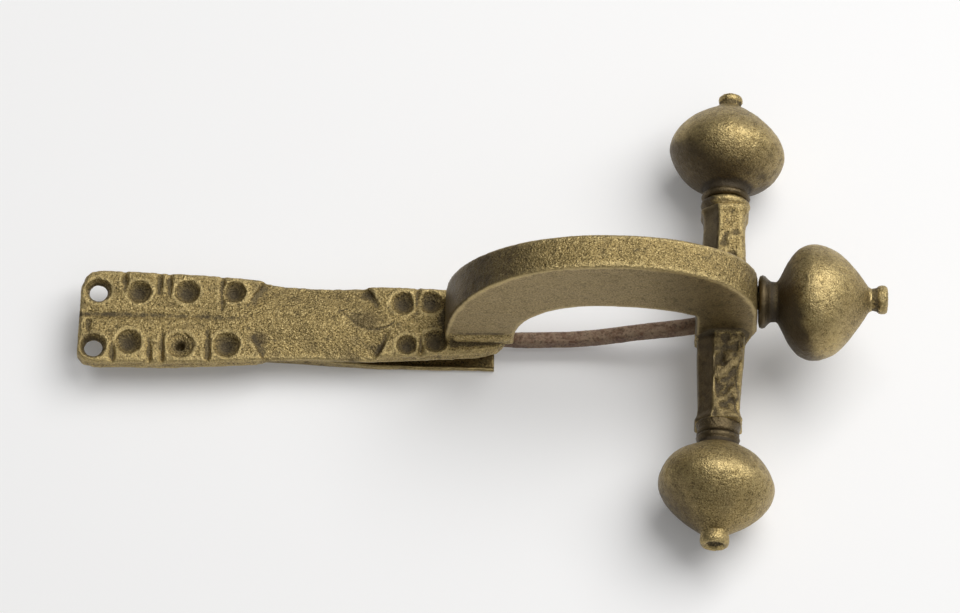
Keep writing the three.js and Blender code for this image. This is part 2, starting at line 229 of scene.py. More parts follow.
def carve(blank, cutter):
    """Cuts the cutter out of the blank, and removes the cutter."""
    cut = blank.modifiers.new("cut", "BOOLEAN")
    cut.operation = "DIFFERENCE"
    cut.solver = "EXACT"
    cut.use_self = True
    cut.object = cutter
    apply_modifiers(blank)
    remove_object(cutter)


def smoothstep(low, high, value):
    """0 below low, 1 above high and smooth between; works on numbers and arrays."""
    t = np.clip((value - low) / (high - low), 0.0, 1.0)
    return t * t * (3.0 - 2.0 * t)


def mesh_arrays(mesh):
    """Places and normals of a mesh's vertices, and its edges."""
    count = len(mesh.vertices)
    places = np.empty(count * 3)
    normals = np.empty(count * 3)
    edges = np.empty(len(mesh.edges) * 2, dtype=int)
    mesh.vertices.foreach_get("co", places)
    mesh.vertices.foreach_get("normal", normals)
    mesh.edges.foreach_get("vertices", edges)
    return places.reshape(-1, 3), normals.reshape(-1, 3), edges.reshape(-1, 2)


def relax(values, edges, rounds):
    """Values averaged with their neighbours, several times over."""
    count = len(values)
    degree = np.maximum(np.bincount(edges.ravel(), minlength=count), 1)
    for _ in range(rounds):
        total = np.empty_like(values)
        for column in range(values.shape[1]):
            spread = values[:, column]
            total[:, column] = (np.bincount(edges[:, 0], spread[edges[:, 1]], count)
                                + np.bincount(edges[:, 1], spread[edges[:, 0]], count))
        values = 0.5 * values + 0.5 * total / degree[:, None]
    return values


def store(mesh, name, values):
    """Keeps one number for each vertex under a name that a material can read."""
    attribute = mesh.attributes.new(name, "FLOAT", "POINT")
    attribute.data.foreach_set("value", np.asarray(values, dtype=np.float32))


def field(places, size, octaves=1, seed=0.0):
    """Smooth noise at each place, about -1 to 1, with lumps of the given size."""
    shift = Vector((seed, seed * 0.7, -seed))
    if octaves == 1:
        return np.array([noise.noise(Vector(place) / size + shift) for place in places])
    return np.array([noise.fractal(Vector(place) / size + shift, 0.8, 2.1, octaves) for place in places])


def weather(piece, rough, amount, pits, seed, tarnish_and_shade=0.0, erosion=0.0, lumpy=0.045):
    """Gives a finished mesh its old surface: grain where it is rough, dents, pits and worn hollows.

    rough is 0 on filed faces and 1 on the cast skin, pits and erosion are depths in millimetres and
    tarnish_and_shade is 0 to 1, brown tarnish together with painted shade; each is one number or one for each vertex."""
    mesh = piece.data
    places, normals, edges = mesh_arrays(mesh)
    places = places / MM
    lumps = field(places, 3.4, 1, seed)
    grain = field(places, 0.62, 3, seed + 5.0)
    fine = field(places, 0.36, 1, seed + 9.0)
    spots = field(places, 0.95, 1, seed + 3.0)
    pitted = smoothstep(0.22, 0.55, spots)
    height = lumpy * lumps + amount * (0.25 + 0.75 * rough) * (grain + 0.55 * fine) - pits * pitted
    if np.any(erosion):
        height -= erosion * smoothstep(-0.25, 0.45, field(places, 1.7, 2, seed + 7.0))
    moved = places + normals * height[:, None]
    mesh.vertices.foreach_set("co", (moved * MM).ravel())
    mesh.update()
    places, normals, edges = mesh_arrays(mesh)
    places = places / MM
    near = ((relax(places, edges, 6) - places) * normals).sum(1)
    wide = ((relax(places, edges, 36) - places) * normals).sum(1)
    store(mesh, "hollow", np.clip(near / 0.05, -1, 1) * 0.5 + np.clip(wide / 0.16, -1, 1) * 0.5)
    store(mesh, "rough", np.full_like(height, rough))
    store(mesh, "pit", pitted * np.clip(pits / 0.1, 0, 1))
    store(mesh, "tarnish_and_shade", np.clip(np.full_like(height, tarnish_and_shade), 0, 1))


# ------------------------------------------------------------ material helpers

def new_group(name, inputs, outputs):
    """A shader node group with named sockets, each given as (name, type, default)."""
    group = bpy.data.node_groups.new(name, "ShaderNodeTree")
    for label, kind, value in inputs:
        socket = group.interface.new_socket(label, in_out="INPUT", socket_type=kind)
        if value is not None:
            socket.default_value = value
    for label, kind in outputs:
        group.interface.new_socket(label, in_out="OUTPUT", socket_type=kind)
    return group, group.nodes.new("NodeGroupInput"), group.nodes.new("NodeGroupOutput")


def add_node(tree, kind, settings=None, **links):
    """A node with its settings, its inputs set by name or linked from sockets."""
    made = tree.nodes.new(kind)
    for key, value in (settings or {}).items():
        setattr(made, key, value)
    for key, value in links.items():
        socket = made.inputs[int(key[1:]) if key[0] == "i" and key[1:].isdigit() else key.replace("_", " ")]
        if isinstance(value, bpy.types.NodeSocket):
            tree.links.new(value, socket)
        else:
            socket.default_value = value
    return made


def maths(tree, operation, first, second=0.5, clamp=False):
    """The result of one arithmetic step."""
    made = add_node(tree, "ShaderNodeMath", {"operation": operation, "use_clamp": clamp}, i0=first, i1=second)
    return made.outputs[0]


def blend_colours(tree, factor, first, second, mode="MIX"):
    """Two colours mixed by a factor."""
    made = add_node(tree, "ShaderNodeMix", {"data_type": "RGBA", "blend_type": mode, "clamp_factor": True})
    for index, value in ((0, factor), (6, first), (7, second)):
        if isinstance(value, bpy.types.NodeSocket):
            tree.links.new(value, made.inputs[index])
        else:
            made.inputs[index].default_value = value
    return made.outputs[2]


def spread(tree, value, low, high, to_low=0.0, to_high=1.0):
    """A value stretched smoothly from one range to another."""
    made = add_node(tree, "ShaderNodeMapRange", {"interpolation_type": "SMOOTHSTEP"},
                    Value=value, From_Min=low, From_Max=high, To_Min=to_low, To_Max=to_high)
    return made.outputs[0]


def grain_group():
    """Fine grains of a sand-cast skin: their height and the few that shine."""
    group, source, result = new_group(
        "Cast grain",
        [("Vector", "NodeSocketVector", None), ("Grains per metre", "NodeSocketFloat", 2600.0)],
        [("Height", "NodeSocketFloat"), ("Bright", "NodeSocketFloat"), ("Dark", "NodeSocketFloat")])
    place, scale = source.outputs[:2]
    coarse = add_node(group, "ShaderNodeTexNoise", Vector=place, Scale=scale, Detail=5.0, Roughness=0.68)
    cells = add_node(group, "ShaderNodeTexVoronoi", {"feature": "SMOOTH_F1"}, Vector=place,
                     Scale=maths(group, "MULTIPLY", scale, 1.5), Smoothness=0.35)
    specks = add_node(group, "ShaderNodeTexNoise", Vector=place,
                      Scale=maths(group, "MULTIPLY", scale, 1.9), Detail=2.0, Roughness=0.5)
    height = maths(group, "SUBTRACT", coarse.outputs["Fac"],
                   maths(group, "MULTIPLY", cells.outputs["Distance"], 0.35))
    group.links.new(height, result.inputs["Height"])
    group.links.new(spread(group, specks.outputs["Fac"], 0.52, 0.68), result.inputs["Bright"])
    group.links.new(spread(group, specks.outputs["Fac"], 0.47, 0.33), result.inputs["Dark"])
    return group


def patina_group():
    """Soft clouds of patina with broken edges."""
    group, source, result = new_group(
        "Patina clouds",
        [("Vector", "NodeSocketVector", None), ("Clouds per metre", "NodeSocketFloat", 220.0),
         ("Cover", "NodeSocketFloat", 0.5)],
        [("Mask", "NodeSocketFloat")])
    place, scale, cover = source.outputs[:3]
    clouds = add_node(group, "ShaderNodeTexNoise", Vector=place, Scale=scale, Detail=6.0, Roughness=0.62,
                      Distortion=0.3)
    level = maths(group, "ADD", clouds.outputs["Fac"], maths(group, "SUBTRACT", cover, 0.5))
    group.links.new(spread(group, level, 0.4, 0.62), result.inputs["Mask"])
    return group


def wear_group():
    """Rubbed ridges and filled hollows, from how far a vertex lies inside or outside its surroundings."""
    group, source, result = new_group(
        "Ridge and hollow",
        [("Vector", "NodeSocketVector", None), ("Hollow", "NodeSocketFloat", 0.0),
         ("Break-up per metre", "NodeSocketFloat", 1500.0)],
        [("Ridge", "NodeSocketFloat"), ("Hollow", "NodeSocketFloat")])
    place, hollow, scale = source.outputs[:3]
    chips = add_node(group, "ShaderNodeTexNoise", Vector=place, Scale=scale, Detail=4.0, Roughness=0.6)
    uneven = maths(group, "MULTIPLY", maths(group, "SUBTRACT", chips.outputs["Fac"], 0.5), 0.9)
    level = maths(group, "ADD", hollow, uneven)
    group.links.new(spread(group, level, -0.14, -0.62), result.inputs["Ridge"])
    group.links.new(spread(group, level, 0.12, 0.6), result.inputs["Hollow"])
    return group


def shared_group(name, maker):
    """The node group of that name, made the first time."""
    return bpy.data.node_groups.get(name) or maker()


def place_group(tree, name, maker, **values):
    """A node group placed in a material with its own values."""
    made = tree.nodes.new("ShaderNodeGroup")
    made.node_tree = shared_group(name, maker)
    for key, value in values.items():
        socket = made.inputs[key.replace("_", " ")]
        if isinstance(value, bpy.types.NodeSocket):
            tree.links.new(value, socket)
        else:
            socket.default_value = value
    return list(made.outputs)


def new_material(name):
    """An empty node material with its output and Principled BSDF."""
    material = bpy.data.materials.new(name)
    material.use_nodes = True
    tree = material.node_tree
    tree.nodes.clear()
    shader = tree.nodes.new("ShaderNodeBsdfPrincipled")
    output = tree.nodes.new("ShaderNodeOutputMaterial")
    tree.links.new(shader.outputs["BSDF"], output.inputs["Surface"])
    return material, tree, shader


def read_attribute(tree, name):
    """A number kept on the mesh's vertices."""
    return add_node(tree, "ShaderNodeAttribute", {"attribute_name": name}).outputs["Fac"]


def old_bronze(name, grains, bump, clouding, gold):
    """Weathered copper alloy: golden grains on the cast skin, a greyish filed skin and dirty hollows."""
    if name in bpy.data.materials:
        return bpy.data.materials[name]
    tones = bpy.context.scene.brooch_colours
    material, tree, shader = new_material(name)
    place = add_node(tree, "ShaderNodeTexCoord").outputs["Object"]
    hollow = read_attribute(tree, "hollow")
    rough = read_attribute(tree, "rough")
    pit = read_attribute(tree, "pit")
    sunk = read_attribute(tree, "sunk")
    tarnish_and_shade = read_attribute(tree, "tarnish_and_shade")
    height, bright, dark = place_group(tree, "Cast grain", grain_group, Vector=place, Grains_per_metre=grains)
    clouds = place_group(tree, "Patina clouds", patina_group, Vector=place, Clouds_per_metre=260.0,
                         Cover=0.5)[0]
    blotches = place_group(tree, "Patina clouds", patina_group, Vector=place, Clouds_per_metre=900.0,
                           Cover=0.42)[0]
    ridges, hollows = place_group(tree, "Ridge and hollow", wear_group, Vector=place, Hollow=hollow)

    clouds = spread(tree, clouds, 0.0, 1.0, 0.3 - 0.3 * clouding, 0.3 + 0.7 * clouding)
    skin = blend_colours(tree, clouds, tones.bronze, tones.olive)
    skin = blend_colours(tree, maths(tree, "MULTIPLY", blotches, 0.3), skin, tones.olive)
    skin = blend_colours(tree, maths(tree, "MULTIPLY", bright, gold), skin, tones.brass)
    skin = blend_colours(tree, maths(tree, "MULTIPLY", dark, 0.8), skin, tones.dirt)
    filed = blend_colours(tree, maths(tree, "MULTIPLY", blotches, 0.5), tones.smooth, tones.olive)
    filed = blend_colours(tree, maths(tree, "MULTIPLY", dark, 0.4), filed, tones.dirt)
    filed = blend_colours(tree, maths(tree, "MULTIPLY", bright, 0.25), filed, tones.brass)
    shade = blend_colours(tree, rough, filed, skin)
    shade = blend_colours(tree, maths(tree, "MULTIPLY", ridges, 0.35), shade, tones.brass)
    # brown is the stored tarnish and painted shade plus some blotches; it mixes the colour toward the tarnish colour.
    brown = spread(tree, maths(tree, "ADD", tarnish_and_shade, maths(tree, "MULTIPLY", blotches, 0.2)), 0.12, 1.0)
    shade = blend_colours(tree, maths(tree, "MULTIPLY", brown, 0.9), shade, tones.tarnish_and_shade)
    grime = maths(tree, "MAXIMUM", maths(tree, "MULTIPLY", hollows, 0.6), maths(tree, "MULTIPLY", pit, 0.6))
    grime = maths(tree, "MAXIMUM", grime, maths(tree, "MULTIPLY", sunk, 0.85))
    shade = blend_colours(tree, grime, shade, tones.dirt)
    tree.links.new(shade, shader.inputs["Base Color"])

    metal = maths(tree, "SUBTRACT", 0.92, maths(tree, "MULTIPLY", grime, 0.75))
    tree.links.new(metal, shader.inputs["Metallic"])
    gloss = spread(tree, rough, 0.0, 1.0, 0.46, 0.5)
    gloss = maths(tree, "ADD", gloss, maths(tree, "MULTIPLY", grime, 0.3))
    gloss = maths(tree, "SUBTRACT", gloss, maths(tree, "MULTIPLY", ridges, 0.08))
    tree.links.new(gloss, shader.inputs["Roughness"])
    relief = maths(tree, "MULTIPLY", height, maths(tree, "ADD", maths(tree, "MULTIPLY", rough, 0.8), 0.2))
    dents = add_node(tree, "ShaderNodeBump", Strength=1.0, Distance=bump, Height=relief)
    tree.links.new(dents.outputs["Normal"], shader.inputs["Normal"])
    return material


def rusty_iron():
    """Brown rust with a dusty crust."""
    if "rusty_iron" in bpy.data.materials:
        return bpy.data.materials["rusty_iron"]
    tones = bpy.context.scene.brooch_colours
    material, tree, shader = new_material("rusty_iron")
    place = add_node(tree, "ShaderNodeTexCoord").outputs["Object"]
    hollow = read_attribute(tree, "hollow")
    height, bright, dark = place_group(tree, "Cast grain", grain_group, Vector=place, Grains_per_metre=1900.0)
    crust = place_group(tree, "Patina clouds", patina_group, Vector=place, Clouds_per_metre=700.0, Cover=0.5)[0]
    ridges, hollows = place_group(tree, "Ridge and hollow", wear_group, Vector=place, Hollow=hollow)
    shade = blend_colours(tree, maths(tree, "MULTIPLY", crust, 0.7), tones.rust, tones.rust_light)
    shade = blend_colours(tree, maths(tree, "MULTIPLY", bright, 0.35), shade, tones.rust_light)
    shade = blend_colours(tree, maths(tree, "MULTIPLY", ridges, 0.4), shade, tones.rust_light)
    shade = blend_colours(tree, maths(tree, "MULTIPLY", dark, 0.5), shade, tones.dirt)
    shade = blend_colours(tree, maths(tree, "MULTIPLY", hollows, 0.8), shade, tones.dirt)
    tree.links.new(shade, shader.inputs["Base Color"])
    shader.inputs["Metallic"].default_value = 0.25
    tree.links.new(spread(tree, crust, 0.0, 1.0, 0.5, 0.75), shader.inputs["Roughness"])
    dents = add_node(tree, "ShaderNodeBump", Strength=1.0, Distance=0.00012, Height=height)
    tree.links.new(dents.outputs["Normal"], shader.inputs["Normal"])
    return material


def table_top():
    """Plain pale ground."""
    tones = bpy.context.scene.brooch_colours
    material, tree, shader = new_material("table_top")
    shader.inputs["Base Color"].default_value = tones.table
    shader.inputs["Roughness"].default_value = 0.9
    shader.inputs["Specular IOR Level"].default_value = 0.1
    shader.inputs["Emission Color"].default_value = (1, 1, 1, 1)
    paths = tree.nodes.new("ShaderNodeLightPath")
    seen = maths(tree, "MAXIMUM", paths.outputs["Is Camera Ray"], paths.outputs["Is Glossy Ray"])
    tree.links.new(maths(tree, "MULTIPLY", seen, 0.13), shader.inputs["Emission Strength"])
    clear = tree.nodes.new("ShaderNodeBsdfTransparent")
    sides = tree.nodes.new("ShaderNodeMixShader")
    tree.links.new(tree.nodes.new("ShaderNodeNewGeometry").outputs["Backfacing"], sides.inputs[0])
    tree.links.new(shader.outputs["BSDF"], sides.inputs[1])
    tree.links.new(clear.outputs["BSDF"], sides.inputs[2])
    tree.links.new(sides.outputs["Shader"], tree.nodes["Material Output"].inputs["Surface"])
    return material


# ------------------------------------------------------------- bow and foot

# Hand-drilled and hand-cut decoration, as (x, y) on the foot.
PIERCED = [(-42.65, 3.2), (-43.0, -3.55)]
DOTS = [(-38.1, 3.1, 1.0), (-32.75, 3.15, 1.03), (-27.5, 3.2, 0.94), (-39.1, -3.0, 1.07), (-28.2, -3.25, 1.1),
        (-8.65, 2.1, 1.0), (-5.6, 2.2, 1.0), (-8.15, -3.0, 0.88), (-5.0, -2.5, 1.0)]
RING_DOT = (-33.35, -3.35, 1.2)
NOTCHES = [(-39.75, 5.9, 3.1, 0.55), (-35.87, 5.9, 2.7, 0.5), (-34.75, 5.9, 2.7, 0.5), (-28.85, 5.4, 0.8, 0.45),
           (-43.65, -0.2, -1.9, 0.45), (-40.9, -5.9, -2.9, 0.55), (-36.84, -5.9, -2.5, 0.5),
           (-35.4, -5.9, -1.6, 0.45), (-30.33, -5.6, -1.3, 0.5), (-7.1, 4.6, 0.6, 0.45), (-6.6, -4.6, -1.6, 0.45)]
CRACK = [[(-15.9, 1.0), (-15.0, 1.25), (-14.3, 0.9), (-13.4, 0.65)],
         [(-15.7, 1.3), (-14.7, 0.4), (-13.6, -0.65), (-12.2, -1.1), (-10.6, -0.85), (-9.6, -0.2)]]


def foot_outline():
    """The foot plate's outline from above."""
    far = [(-44.6, 3.6), (-44.15, 5.0), (-43.4, 5.65), (-42.2, 5.78), (-36.0, 5.6), (-31.5, 5.4), (-26.8, 5.05),
           (-24.4, 4.75), (-22.0, 4.4), (-19.5, 4.2), (-15.5, 4.12), (-12.5, 4.15), (-11.2, 4.2), (-5.5, 4.0),
           (0.0, 3.65), (1.6, 3.2), (2.6, 2.3), (3.08, 0.9)]
    near = [(3.08, -0.9), (2.8, -2.3), (1.9, -3.3), (0.0, -3.8), (-5.5, -4.2), (-10.8, -4.45), (-12.3, -4.6),
            (-15.5, -4.5), (-20.0, -4.42), (-23.6, -4.65), (-24.6, -5.0), (-27.0, -5.15), (-31.5, -5.4),
            (-36.0, -5.5), (-40.5, -5.45), (-42.8, -5.5), (-44.2, -5.2), (-44.85, -4.4)]
    return [Vector(point) for point in far + near]


def foot_blank(sizes):
    """The foot plate with its top rim softened."""
    top = (sizes.foot_underside + sizes.foot_thickness) / MM
    bm = bmesh.new()
    outline = [(x, y, sizes.foot_underside / MM) for x, y in foot_outline()]
    extrude_outline(bm, outline, (0, 0, sizes.foot_thickness / MM))
    bmesh.ops.recalc_face_normals(bm, faces=bm.faces)
    rim = [edge for edge in bm.edges if all(abs(vert.co.z - top) < 1e-3 for vert in edge.verts)]
    bmesh.ops.bevel(bm, geom=rim, offset=0.32, affect="EDGES", segments=3, profile=0.5, material=-1)
    return helper_object("foot_blank", bm)


def burrs(sizes):
    """The thin raised rims that drilling left round the dots."""
    top = (sizes.foot_underside + sizes.foot_thickness) / MM
    bm = bmesh.new()
    for x, y, size in DOTS + [RING_DOT] + [(*place, 1.06) for place in PIERCED]:
        radius = size * sizes.dot_radius / MM + 0.1
        ring = [(radius + 0.2 * math.cos(a), 0.13 * math.sin(a))
                for a in (math.tau * i / 8 for i in range(9))]
        side = [bm.verts.new((x + r, y, top + z)) for r, z in ring[:-1]]
        loop = [bm.edges.new((side[i - 1], side[i])) for i in range(8)]
        bmesh.ops.spin(bm, geom=side + loop, cent=(x, y, top), axis=(0, 0, 1), angle=math.tau, steps=28,
                       use_merge=True)
    return helper_object("burrs", bm)


def foot_cutters(sizes):
    """Everything that is drilled, cut or filed out of the foot."""
    top = (sizes.foot_underside + sizes.foot_thickness) / MM
    up = Vector((0, 0, 1))
    depth = sizes.dot_depth / MM
    bm = bmesh.new()
    for x, y, size in DOTS:
        rim = size * sizes.dot_radius / MM
        profile = [(0, -depth), (0.25, -depth * 0.96), (rim * 0.45, -depth * 0.72), (rim * 0.7, -depth * 0.42),
                   (rim * 0.92, -depth * 0.1), (rim, 0.05), (rim, 1), (0, 1)]
        turn(bm, profile, Vector((x, y, top)), up, 28)
    x, y, size = RING_DOT
    rim = size * sizes.dot_radius / MM
    profile = [(0, -1.75), (0.5, -1.75), (0.55, -0.5), (rim * 0.6, -0.42), (rim * 0.66, -0.2), (rim * 0.84, -0.22),
               (rim * 0.92, 0.05), (rim, 0.1), (rim, 1), (0, 1)]
    turn(bm, profile, Vector((x, y, top)), up, 32)
    for x, y in PIERCED:
        rim = 1.06 * sizes.dot_radius / MM
        profile = [(0, -3), (1.5, -3), (1.45, -1.5), (1.0, -1.0), (1.0, -0.8), (rim * 0.8, -0.35), (rim, 0.05),
                   (rim, 1), (0, 1)]
        turn(bm, profile, Vector((x, y, top)), up, 32)
    for x, outer, inner, width in NOTCHES:
        notch_cutter(bm, x, outer, inner, width, top)
    groove_cutter(bm, top)
    for side in (1, -1):
        facet_cutter(bm, side, top)
    return helper_object("foot_cutters", bm)


def notch_cutter(bm, x, outer, inner, width, top):
    """One V-shaped cut across the foot's edge, shallower toward its inner end."""
    rings = []
    for y, depth in ((outer, 0.42), ((outer + inner) / 2, 0.4), (inner, 0.16)):
        rings.append([(x - width, y, top + 0.2), (x - width * 0.3, y, top - depth), (x + width * 0.3, y, top - depth),
                      (x + width, y, top + 0.2), (x, y, top + 0.6)])
    loft(bm, rings)


def groove_cutter(bm, top):
    """The long groove down the middle of the wide panel."""
    rings = []
    for x, y, half, depth in ((-44.2, 0.4, 0.5, 0.22), (-41, 0.35, 0.7, 0.3), (-34, 0.25, 0.6, 0.24),
                              (-29, 0.1, 0.45, 0.16), (-26, 0.0, 0.2, 0.04)):
        rings.append([(x, y - half - 0.2, top + 0.06), (x, y - half * 0.15, top - depth),
                      (x, y + half * 0.15, top - depth), (x, y + half + 0.2, top + 0.06), (x, y, top + 0.8)])
    loft(bm, rings)


def facet_cutter(bm, side, top):
    """A long facet filed along the waist; its ends run out on slanting lines."""
    edge = 5.6
    lines = [(-26.8, -23.6), (-26.4, -23.2), (-24, -21.5), (-15, -15), (-10.6, -13.9), (-10.2, -13.5)]
    if side < 0:
        lines = [(-26.8, -23.8), (-26.4, -23.4), (-24, -21.5), (-15, -15), (-9.9, -12.3), (-9.5, -11.9)]
    drops = (0.0, 0.85, 1.0, 1.0, 0.9, 0.0)
    rings = []
    for (x_inner, x_outer), drop in zip(lines, drops):
        rings.append([(x_inner, side * 0.8, top + 0.02), (x_outer, side * edge, top - drop * 1.25),
                      (x_outer, side * edge, top + 2), (x_inner, side * 0.8, top + 2)])
    loft(bm, rings)


def bow_outline():
    """The bow and head from the side, as (x, z)."""
    start = HEAD_FACE - 34.5
    crown = start + 17.9
    flat = start + 17.9
    outer = [(crown - 17.9 * abs(math.cos(a)) ** 0.962, 6.5 + (CROWN - 6.5) * math.sin(a) ** 0.962)
             for a in (math.pi / 2 * i / 40 for i in range(41))]
    outer += [(crown + 16.6 * math.sin(a) ** 0.943, 11.5 + (CROWN - 11.5) * abs(math.cos(a)) ** 0.943)
              for a in (math.pi / 2 * i / 40 for i in range(1, 41))]
    toe = BAR.z - 2.5
    face = [(HEAD_FACE, 8.4), (BAR.x + 2.75, toe + 1.3), (BAR.x + 2.5, toe), (BAR.x - 3.0, toe)]
    inner_top = CROWN - 9.4
    inner = [(flat - (flat - BAR.x + 3.0) * u, inner_top - 2.0 * u * u) for u in (1 - i / 12 for i in range(12))]
    inner += [(flat - 10.3 * math.sin(a) ** 0.83, 4.9 + (inner_top - 4.9) * abs(math.cos(a)) ** 0.83)
              for a in (math.pi / 2 * i / 26 for i in range(27))]
    return [(start, 4.6)] + outer + face + inner + [(start + 7.6, 4.6)]


def bow_blank(sizes):
    """The bow with its back and sides, narrower toward the crown and softened along its rims."""
    base = sizes.bow_base / MM
    top = sizes.bow_top / MM
    bm = bmesh.new()
    extrude_outline(bm, [(x, -1, z) for x, z in bow_outline()], (0, 2, 0))
    bmesh.ops.recalc_face_normals(bm, faces=bm.faces)
    for vert in bm.verts:
        rise = smoothstep(6.0, CROWN, vert.co.z)
        vert.co.y = vert.co.y * (base + (top - base) * rise) + 0.2 * rise
    rims = [edge for edge in bm.edges if edge.verts[0].co.y * edge.verts[1].co.y > 0 and len(edge.link_faces) == 2]
    bmesh.ops.bevel(bm, geom=rims, offset=0.22, affect="EDGES", segments=2, profile=0.5, material=-1)
    bmesh.ops.triangulate(bm, faces=[face for face in bm.faces if len(face.verts) > 4])
    return helper_object("bow_blank", bm)


def plinth_blank(sizes):
    """The low plinth that the bow stands on, with rounded ends and a bead round its top."""
    top = (sizes.foot_underside + sizes.foot_thickness) / MM
    half = sizes.bow_base / MM + 0.28
    start = HEAD_FACE - 34.5
    bm = bmesh.new()
    rings = []
    for z, grow in ((top - 0.4, -0.75), (top + 0.15, -0.7), (top + 0.35, -0.25), (top + 0.7, 0.0),
                    (top + 1.3, 0.08), (top + 1.8, 0.0), (top + 2.15, -0.12), (top + 2.4, -0.34)):
        x0 = start + 0.35 - grow
        x1 = start + 7.55 + grow
        width = half + grow
        rings.append([(x0 + 0.9, -width, z), (x1 - 0.7, -width, z), (x1, -width + 0.7, z), (x1, width - 0.7, z),
                      (x1 - 0.7, width, z), (x0 + 0.9, width, z), (x0, width - 0.7, z), (x0, -width + 0.7, z)])
    loft(bm, rings)
    return helper_object("plinth_blank", bm)


def arm_blank(side):
    """One arm of the crossbar, with its broad facet on the foot side and a flared end."""
    section = [(-1, -0.78), (-0.82, -1), (0.82, -1), (1, -0.8), (0.96, 0.72), (0.8, 1), (-0.3, 1), (-1, 0.28)]
    stations = [(0.0, 2.7, 2.6), (2.6, 2.7, 2.6), (5.0, 2.62, 2.6), (8.0, 2.45, 2.58), (11.0, 2.32, 2.5),
                (12.2, 2.42, 2.5), (12.75, 2.7, 2.62), (ARM_END + 0.02, 2.72, 2.62)]
    square = HINGE_AXIS.cross(Vector((0, 0, 1))).normalized()
    along = Vector((-HINGE_AXIS.x, -HINGE_AXIS.y, 0)) * side
    across = square if square.x > 0 else -square
    bm = bmesh.new()
    rings = []
    for distance, half, height in stations:
        rings.append([BAR + along * distance + across * (u * half) + Vector((0, 0, v * height))
                      for u, v in section])
    loft(bm, rings)
    bmesh.ops.recalc_face_normals(bm, faces=bm.faces)
    lengthwise = [edge for edge in bm.edges
                  if abs((edge.verts[0].co - edge.verts[1].co).normalized().dot(along)) > 0.8]
    bmesh.ops.bevel(bm, geom=lengthwise, offset=0.16, affect="EDGES", segments=2, profile=0.5, material=-1)
    return helper_object("arm_blank", bm)


def head_cutters():
    """The slot for the pin's eye and the bores for the axle and the rivets."""
    bm = bmesh.new()
    slot = bmesh.ops.create_cube(bm, size=1.0)["verts"]
    bmesh.ops.scale(bm, verts=slot, vec=(6.3, 3.2, 6.0))
    bmesh.ops.translate(bm, verts=slot, vec=(BAR.x - 0.92, 0, BAR.z - 0.81))
    turn(bm, [(0, -15), (1.1, -15), (1.1, 15), (0, 15)], BAR, -HINGE_AXIS, 32)
    hole = Vector((HEAD_FACE, 0, (HEAD_KNOB[0].z + HEAD_KNOB[1].z) / 2))
    turn(bm, [(0, -4.65), (1.1, -4.65), (1.1, 2), (0, 2)], hole, Vector((1, 0, 0)), 32)
    return helper_object("head_cutters", bm)


def join_blanks(blanks):
    """Several blanks as one object."""
    bm = bmesh.new()
    for blank in blanks:
        bm.from_mesh(blank.data)
        remove_object(blank)
    return helper_object("joined", bm)


def crack_depth(places):
    """How deep the hairline crack in the waist is at each place."""
    depth = np.zeros(len(places))
    for line in CRACK:
        points = curve_points([(*point, 0.0) for point in line], 24)
        for first, second in zip(points, points[1:]):
            a = np.array(first[:2])
            d = np.array(second[:2]) - a
            t = np.clip(((places[:, :2] - a) @ d) / (d @ d), 0, 1)
            away = np.linalg.norm(places[:, :2] - a - t[:, None] * d, axis=1)
            depth = np.maximum(depth, 0.14 * (1 - smoothstep(0.02, 0.2, away)))
    return depth


